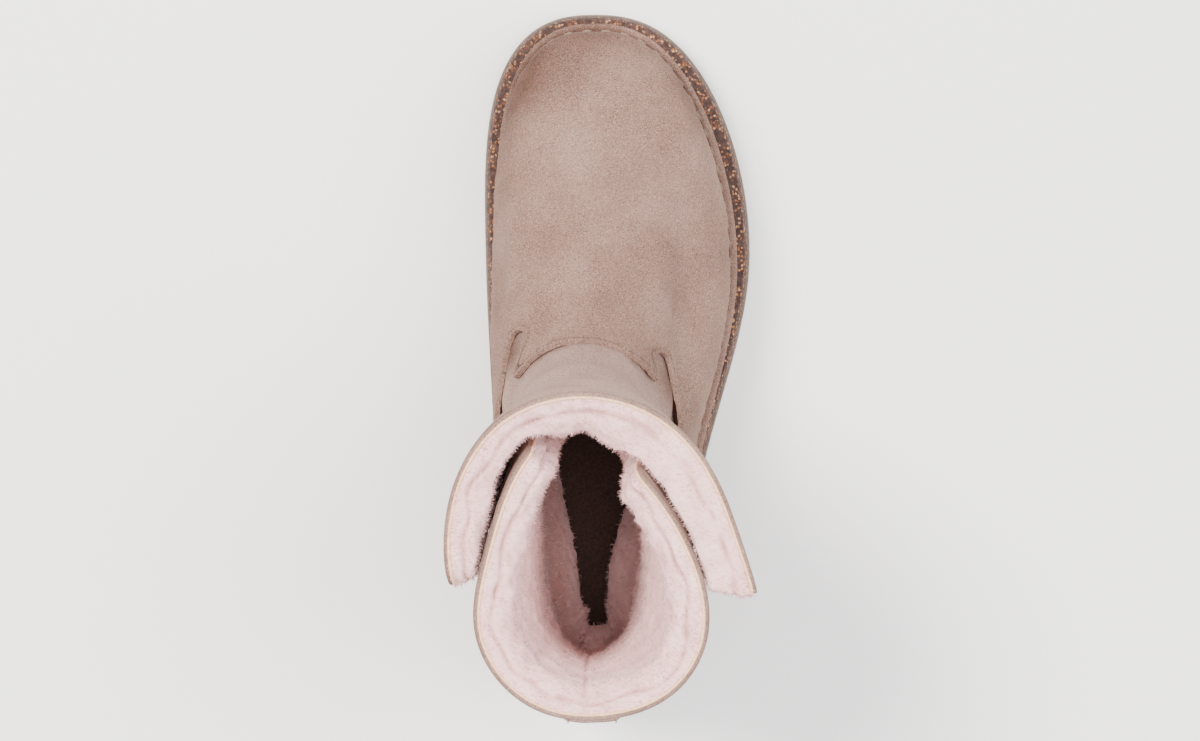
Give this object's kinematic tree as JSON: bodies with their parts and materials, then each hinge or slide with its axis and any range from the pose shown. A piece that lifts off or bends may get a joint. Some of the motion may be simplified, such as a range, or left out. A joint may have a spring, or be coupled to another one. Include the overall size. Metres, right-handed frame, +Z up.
{
  "type": "sheepskin boot",
  "caption": "Right mid-calf sheepskin boot: suede outside and wool inside, a front flap crossing over a wrapped back panel, on a flat stitched sole of cork and rubber.",
  "frame": {"origin": "on the floor, under the middle of the boot's bounding box", "axes": "+Y from heel to toe, +Z up, +X to the little-toe side of the right foot"},
  "size_m": [0.1154, 0.2746, 0.2062],
  "materials": {
    "tread_rubber": "moulded taupe rubber, matt",
    "cork": "dark cork-and-rubber board with tan granules",
    "footbed": "near-black brown napped footbed",
    "suede": "pinkish taupe suede with a fine nap",
    "sheepskin": "twin-faced sheepskin: taupe suede outside, pale pink wool inside"
  },
  "bodies": {
    "root": {"outsole": "tread_rubber", "midsole": "cork", "insole": "footbed", "upper": "suede", "front_flap": "sheepskin", "back_panel": "sheepskin", "back_strip": "suede"}
  },
  "joints": []
}
